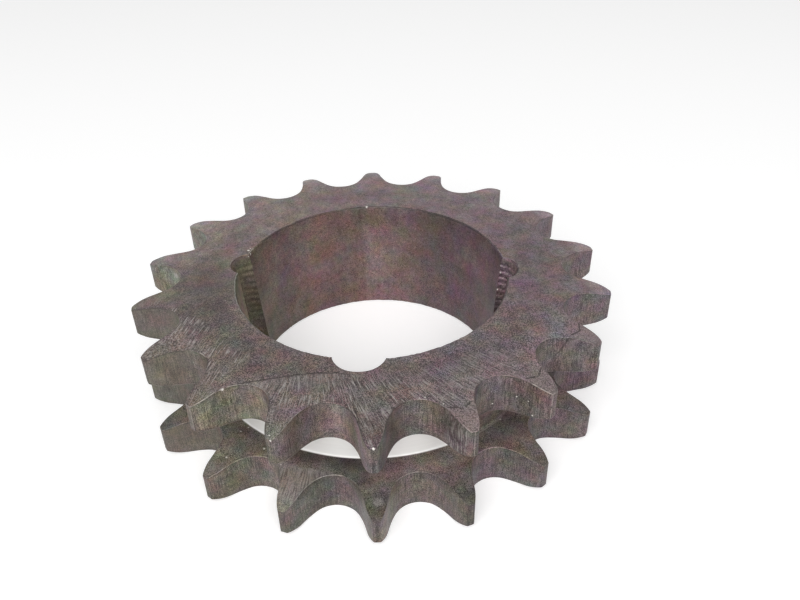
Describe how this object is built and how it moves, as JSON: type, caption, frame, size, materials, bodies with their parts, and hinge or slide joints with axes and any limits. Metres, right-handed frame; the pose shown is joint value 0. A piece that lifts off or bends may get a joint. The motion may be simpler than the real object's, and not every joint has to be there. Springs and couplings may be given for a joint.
{
  "type": "double strand chain sprocket",
  "caption": "Double roller chain sprocket with two rows of teeth on a short hub and a taper bore with half-holes for a split clamping bush.",
  "frame": {"origin": "on the axis, in the plane of the lower face, at the small end of the taper bore", "axes": "+Z along the bore's axis, from its small end to its large end; -Y through the middle of a tooth, next to the jack screw's half-hole"},
  "size_m": [0.0982, 0.0996, 0.0265],
  "materials": {
    "steel": "dark oxide, worn and lightly rusted, with grinding marks on the upper face"
  },
  "bodies": {
    "root": {"sprocket": "steel"}
  },
  "joints": []
}
